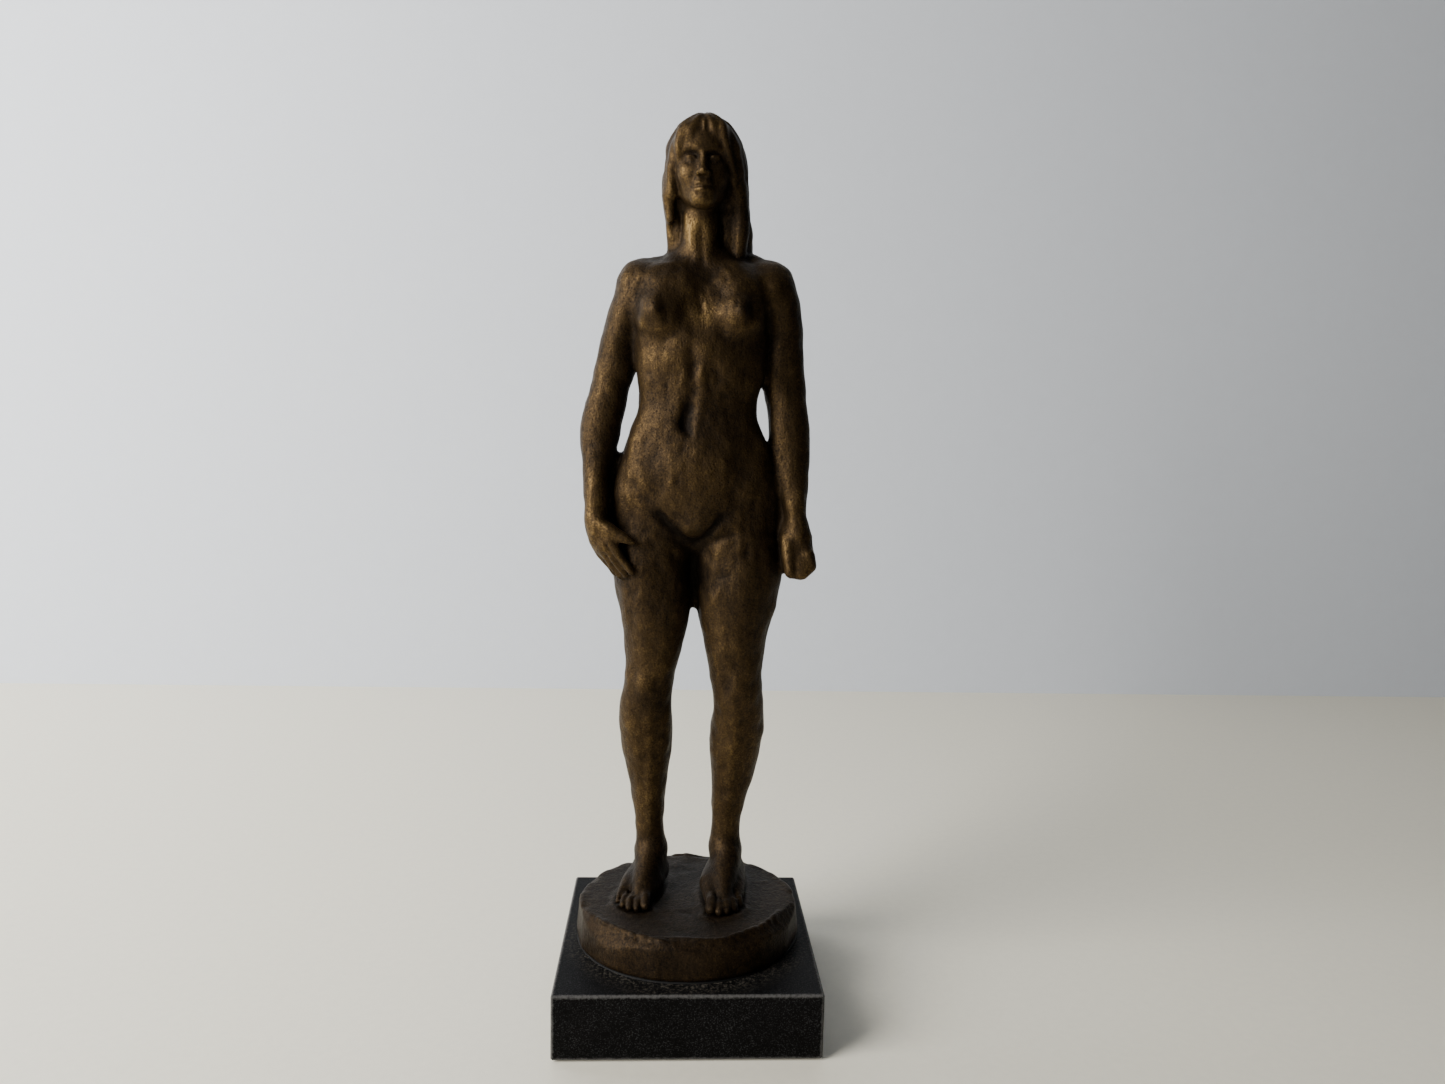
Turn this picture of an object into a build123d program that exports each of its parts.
from build123d import *
from math import cos, pi, sin
import os

# A bronze statuette: a standing woman, cast by lost wax with a hollow torso, screwed
# through both ankles to a separately cast bronze plinth, which is held on a square
# block of black granite by two studs whose nuts are sunk in the block's underside.
# Millimetres. +Z is up, the figure faces -Y and its right side is at -X. The origin
# is at the middle of the footprint, on the surface that the rubber feet stand on.

# ---- Driving dimensions ----
block_side = 80.0
block_height = 20.0
block_arris = 0.5  # the small chamfer ground along the stone's edges
pad_height = 0.6  # of a rubber foot
pad_radius = 5.0
pad_rounding = 0.2
pad_inset = 9.0  # from the stone's sides to a rubber foot's centre

bedding_height = 0.4
bedding_width = 2.4
bedding_setback = 0.6  # from the plinth's outline
plinth_height = 12.0
plinth_wall = 4.0
plinth_draft = 1.3  # how much smaller the plinth's top is than its bottom, all round
plinth_rounding = 1.2
boss_radius = 5.5
boss_gap = 0.5  # from a boss's end to the plinth's rim

figure_height = 246.0  # soles to crown
core_wall = 4.0  # bronze around the hollow torso
plug_radius = 4.0
plug_x, plug_height = 0.8, 180.0  # on the back, above the soles

stud_radius = 2.5
stud_hole_radius = 3.0  # through the stone
stud_spacing = 38.0  # front to back
stud_grip = 6.5  # how far a stud enters its boss
tap_runout = 1.0  # a tapped hole is this much deeper than its screw
stud_washer_radius, stud_washer_height = 5.0, 1.0
nut_flats, nut_height = 8.0, 4.0
stud_past_nut = 1.0
counterbore_radius, counterbore_depth = 7.5, 9.0

screw_radius = 1.5  # the ankle screws
screw_hole_radius = 1.7
screw_length = 16.0
screw_head_radius, screw_head_height = 2.75, 2.0
screw_slot_width, screw_slot_depth = 0.8, 1.0
screw_washer_radius, screw_washer_height = 3.5, 0.5

# ---- Levels ----
block_bottom = pad_height
block_top = block_bottom + block_height
plinth_bottom = block_top + bedding_height
sole = plinth_bottom + plinth_height
deck_underside = sole - plinth_wall
boss_end = plinth_bottom + boss_gap
counterbore_end = block_bottom + counterbore_depth
nut_top = counterbore_end - stud_washer_height
nut_bottom = nut_top - nut_height

# ---- The figure, as rings at heights above the soles ----
# A ring is (height, centre x, centre y, half width, reach forward, reach back).
TORSO = [
    (101, 0.0, 4.0, 6.0, 5.0, 8.0),
    (107, 0.0, 4.0, 21.0, 9.5, 12.0),
    (116, -0.2, 4.0, 27.2, 12.5, 16.5),
    (124, -0.5, 4.0, 27.0, 13.2, 17.0),
    (134, -0.5, 4.0, 24.8, 12.8, 15.0),
    (148, -0.2, 4.0, 20.4, 12.2, 10.5),
    (159, 0.4, 4.0, 18.0, 11.5, 9.5),
    (172, 0.8, 4.0, 19.6, 12.0, 11.5),
    (187, 1.4, 4.5, 20.5, 12.4, 13.0),
    (196, 2.2, 5.0, 21.5, 10.0, 12.0),
    (201, 2.6, 5.5, 20.5, 8.0, 10.0),
    (205, 3.0, 6.0, 13.5, 6.0, 8.0),
    (208, 2.0, 6.0, 6.5, 4.5, 6.0),
]
NECK = [
    (200, 1.0, 6.0, 7.5, 6.5, 6.5),
    (208, 0.6, 5.5, 6.0, 5.5, 6.0),
    (222, 0.4, 5.0, 5.8, 5.5, 6.0),
]
HEAD = [
    (216, 0.2, -1.5, 4.2, 4.5, 6.0),
    (221, 0.3, 0.0, 7.0, 7.5, 10.0),
    (228, 0.5, 1.0, 9.2, 9.5, 12.0),
    (236, 0.9, 2.0, 10.6, 9.6, 13.0),
    (241, 1.0, 2.5, 9.2, 7.5, 11.0),
    (figure_height, 0.9, 3.0, 4.5, 3.5, 5.0),
]
HAIR = [
    (204, 2.6, 11.0, 9.6, 2.5, 3.6),
    (212, 2.8, 10.5, 13.0, 4.2, 4.8),
    (222, 2.2, 9.0, 13.0, 7.0, 6.6),
    (232, 1.6, 8.0, 12.6, 8.5, 8.0),
    (240, 1.2, 6.5, 10.0, 7.5, 7.5),
    (245, 0.9, 4.5, 5.0, 4.5, 5.0),
]
RIGHT_LEG = [
    (9, -12.7, 10.0, 4.6, 6.5, 7.0),
    (18, -12.7, 10.0, 4.7, 5.0, 6.5),
    (30, -13.6, 9.5, 5.6, 5.8, 7.0),
    (44, -14.4, 8.0, 7.6, 7.2, 9.5),
    (57, -14.8, 6.5, 8.6, 7.8, 10.0),
    (71, -14.0, 4.5, 8.1, 8.5, 8.0),
    (84, -12.8, 4.0, 9.6, 9.5, 8.8),
    (98, -12.6, 4.0, 11.8, 11.0, 11.0),
    (114, -13.2, 4.5, 13.4, 12.0, 13.5),
    (122, -13.0, 5.0, 11.0, 9.0, 12.0),
]
RIGHT_FOOT = [
    (0.0, -14.6, 2.5, 7.6, 17.0, 15.5),
    (3.5, -14.4, 2.5, 7.2, 16.4, 15.3),
    (8.0, -13.3, 6.0, 5.0, 12.0, 10.8),
    (14.0, -12.7, 9.6, 4.5, 6.6, 6.8),
]
LEFT_FOOT = [
    (0.0, 12.6, 2.5, 6.6, 18.6, 15.5),
    (3.5, 12.7, 2.5, 6.2, 18.0, 15.3),
    (8.0, 13.1, 6.0, 4.8, 12.4, 10.8),
    (14.0, 13.3, 9.6, 4.5, 6.6, 6.8),
]
RIGHT_ARM = [
    (104, -22.4, -8.0, 3.4, 2.6, 4.0),
    (114, -27.0, -6.5, 4.6, 3.2, 4.0),
    (124, -30.6, -3.0, 3.7, 3.4, 3.6),
    (138, -31.2, 1.0, 4.9, 4.8, 5.0),
    (152, -29.9, 4.0, 6.2, 5.4, 5.6),
    (166, -27.4, 5.0, 5.4, 5.2, 5.6),
    (180, -25.2, 5.5, 5.4, 5.8, 6.2),
    (194, -21.2, 5.5, 6.4, 6.2, 6.8),
    (200, -18.6, 5.5, 5.6, 4.8, 5.2),
    (203, -16.0, 5.5, 3.4, 3.0, 3.2),
]
LEFT_ARM = [
    (106, 33.2, -3.4, 3.6, 3.6, 3.0),
    (110, 33.3, -3.4, 5.3, 5.0, 4.4),
    (118, 32.8, -2.8, 4.6, 4.4, 4.2),
    (126, 31.3, -1.6, 3.6, 3.4, 3.6),
    (138, 30.4, 1.0, 4.9, 4.8, 5.0),
    (152, 29.6, 4.0, 6.2, 5.4, 5.6),
    (166, 28.0, 5.0, 6.0, 5.2, 5.6),
    (180, 27.4, 5.5, 5.6, 5.8, 6.2),
    (194, 25.2, 5.5, 6.2, 6.2, 6.8),
    (200, 22.8, 5.5, 5.6, 4.8, 5.2),
    (203, 20.0, 5.5, 3.4, 3.0, 3.2),
]
RING_POINTS = 12
LEFT_LEG_SHIFT = 0.6  # the left leg stands this much further out than the right

# Balls blended into the torso: (x, y, height above the soles).
BREASTS = [(-11.8, -1.4, 185.0), (12.2, -1.4, 185.0)]
BREAST_RADIUS = 10.0
BUTTOCKS = [(-11.5, 7.5, 116.0), (10.5, 7.5, 116.0)]
BUTTOCK_RADIUS = 15.0

# The plinth's outline: how far its foot lies from the middle, every 30 degrees from +X.
PLINTH_REACH = [36.5, 35.2, 34.4, 34.2, 34.8, 35.6, 36.3, 36.2, 35.2, 34.3, 34.8, 35.5]

ankles = {"right": (-12.7, 10.0), "left": (12.7 + LEFT_LEG_SHIFT, 10.0)}
studs = {"front": (0.0, -stud_spacing / 2), "rear": (0.0, stud_spacing / 2)}


def ring_face(ring, inset=0.0):
    """A closed smooth outline at a ring's height, inset towards its centre."""
    height, centre_x, centre_y, half_width, forward, back = ring
    points = []
    for i in range(RING_POINTS):
        turn = 2 * pi * i / RING_POINTS
        reach = (back if sin(turn) > 0 else forward) - inset
        points.append((centre_x + (half_width - inset) * cos(turn), centre_y + reach * sin(turn)))
    with BuildSketch(Plane.XY.offset(sole + height)) as face:
        with BuildLine():
            Spline(points, periodic=True)
        make_face()
    return face.sketch


def plinth_face(level, inset):
    """The plinth's outline at a level, inset towards its middle."""
    points = []
    for i, reach in enumerate(PLINTH_REACH):
        turn = 2 * pi * i / len(PLINTH_REACH)
        points.append(((reach - inset) * cos(turn), (reach - inset) * sin(turn)))
    with BuildSketch(Plane.XY.offset(level)) as face:
        with BuildLine():
            Spline(points, periodic=True)
        make_face()
    return face.sketch


def left_of(rings, shift):
    """The right side's rings on the left side, moved outwards by shift."""
    return [(height, shift - x, *rest) for height, x, *rest in rings]


def finish(part, name):
    """Labels a sub-part and writes its file."""
    part.label = name
    export_step(part, f"parts/{name}.step")


os.makedirs("parts", exist_ok=True)

# ---- Torso blank and the investment core that hollows it ----
core_rings = [ring for ring in TORSO if 110 < ring[0] < 198]
with BuildPart() as torso_blank:
    loft([ring_face(ring) for ring in TORSO])
with BuildPart() as core:
    loft([ring_face(ring, core_wall) for ring in core_rings])

# ---- Figure ----
limbs = (
    NECK,
    HEAD,
    HAIR,
    RIGHT_LEG,
    left_of(RIGHT_LEG, LEFT_LEG_SHIFT),
    RIGHT_FOOT,
    LEFT_FOOT,
    RIGHT_ARM,
    LEFT_ARM,
)
back_plane = Plane.XZ.offset(-core_wall - 4.0)  # inside the core, behind its middle
with BuildPart() as figure:
    add(torso_blank.part)
    for rings in limbs:
        loft([ring_face(ring) for ring in rings])
    with Locations(*[(x, y, sole + height) for x, y, height in BREASTS]):
        Sphere(BREAST_RADIUS)
    with Locations(*[(x, y, sole + height) for x, y, height in BUTTOCKS]):
        Sphere(BUTTOCK_RADIUS)
    add(core.part, mode=Mode.SUBTRACT)
    with BuildSketch(back_plane):
        with Locations((plug_x, sole + plug_height)):
            Circle(plug_radius)
    extrude(amount=-block_side, mode=Mode.SUBTRACT)
    for x, y in ankles.values():
        with BuildSketch(Plane.XY.offset(sole)):
            with Locations((x, y)):
                Circle(screw_radius)
        extrude(amount=screw_length - plinth_wall - screw_washer_height + tap_runout, mode=Mode.SUBTRACT)
finish(figure.part, "figure")

# ---- The plug that closes the hole through which the core was held and dug out ----
with BuildPart() as core_plug:
    with BuildSketch(back_plane):
        with Locations((plug_x, sole + plug_height)):
            Circle(plug_radius)
    extrude(amount=-block_side)
    add(torso_blank.part, mode=Mode.INTERSECT)
    add(core.part, mode=Mode.SUBTRACT)
finish(core_plug.part, "core_plug")

# ---- Plinth: an open-bottomed casting with a boss for each stud ----
with BuildPart() as plinth:
    loft([plinth_face(plinth_bottom, 0), plinth_face(sole, plinth_draft)])
    fillet(plinth.faces().sort_by(Axis.Z)[-1].edges(), plinth_rounding)
    loft(
        [plinth_face(level, plinth_wall) for level in (plinth_bottom, deck_underside)],
        mode=Mode.SUBTRACT,
    )
    with BuildSketch(Plane.XY.offset(boss_end)):
        with Locations(*studs.values()):
            Circle(boss_radius)
    extrude(amount=deck_underside - boss_end)
    with BuildSketch(Plane.XY.offset(boss_end)):
        with Locations(*studs.values()):
            Circle(stud_radius)
    extrude(amount=stud_grip + tap_runout, mode=Mode.SUBTRACT)
    with BuildSketch(Plane.XY.offset(deck_underside)):
        with Locations(*ankles.values()):
            Circle(screw_hole_radius)
    extrude(amount=plinth_wall, mode=Mode.SUBTRACT)
finish(plinth.part, "plinth")

# ---- Ankle screws and washers, driven up from inside the plinth ----
for side, (x, y) in ankles.items():
    head_top = deck_underside - screw_washer_height
    with BuildPart(Plane((x, y, head_top))) as ankle_screw:
        Cylinder(screw_radius, screw_length, align=(Align.CENTER, Align.CENTER, Align.MIN))
        Cylinder(screw_head_radius, screw_head_height, align=(Align.CENTER, Align.CENTER, Align.MAX))
        with Locations((0, 0, -screw_head_height)):
            Box(
                2 * screw_head_radius,
                screw_slot_width,
                screw_slot_depth,
                align=(Align.CENTER, Align.CENTER, Align.MIN),
                mode=Mode.SUBTRACT,
            )
    finish(ankle_screw.part, f"ankle_screw_{side}")
    with BuildPart(Plane((x, y, head_top))) as ankle_washer:
        Cylinder(screw_washer_radius, screw_washer_height, align=(Align.CENTER, Align.CENTER, Align.MIN))
        Hole(screw_hole_radius)
    finish(ankle_washer.part, f"ankle_washer_{side}")

# ---- Bedding: a thin ring of black mastic between the plinth and the stone ----
with BuildPart() as bedding_ring:
    for level_inset, mode in ((bedding_setback, Mode.ADD), (bedding_setback + bedding_width, Mode.SUBTRACT)):
        add(plinth_face(block_top, level_inset))
        extrude(amount=bedding_height, mode=mode)
finish(bedding_ring.part, "bedding_ring")

# ---- Granite block ----
with BuildPart() as granite_block:
    with BuildSketch(Plane.XY.offset(block_bottom)):
        Rectangle(block_side, block_side)
    extrude(amount=block_height)
    chamfer(granite_block.edges(), block_arris)
    for radius, depth in ((stud_hole_radius, block_height), (counterbore_radius, counterbore_depth)):
        with BuildSketch(Plane.XY.offset(block_bottom)):
            with Locations(*studs.values()):
                Circle(radius)
        extrude(amount=depth, mode=Mode.SUBTRACT)
finish(granite_block.part, "granite_block")

# ---- Studs, with a washer and a nut each, in the stone's counterbores ----
for place, (x, y) in studs.items():
    stud_end = nut_bottom - stud_past_nut
    with BuildPart(Plane((x, y, stud_end))) as stud:
        Cylinder(stud_radius, boss_end + stud_grip - stud_end, align=(Align.CENTER, Align.CENTER, Align.MIN))
    finish(stud.part, f"stud_{place}")
    with BuildPart(Plane((x, y, nut_top))) as stud_washer:
        Cylinder(stud_washer_radius, stud_washer_height, align=(Align.CENTER, Align.CENTER, Align.MIN))
        Hole(stud_hole_radius)
    finish(stud_washer.part, f"stud_washer_{place}")
    with BuildPart() as stud_nut:
        with BuildSketch(Plane((x, y, nut_bottom))):
            RegularPolygon(nut_flats / 2, 6, major_radius=False)
            Circle(stud_radius, mode=Mode.SUBTRACT)
        extrude(amount=nut_height)
    finish(stud_nut.part, f"stud_nut_{place}")

# ---- Rubber feet under the stone's corners ----
pad_reach = block_side / 2 - pad_inset
corners = {
    "front_right": (-1, -1),
    "front_left": (1, -1),
    "rear_right": (-1, 1),
    "rear_left": (1, 1),
}
for corner, (across, along) in corners.items():
    with BuildPart(Plane((across * pad_reach, along * pad_reach, 0))) as rubber_foot:
        Cylinder(pad_radius, pad_height, align=(Align.CENTER, Align.CENTER, Align.MIN))
        fillet(rubber_foot.edges().group_by(Axis.Z)[0], pad_rounding)
    finish(rubber_foot.part, f"rubber_foot_{corner}")
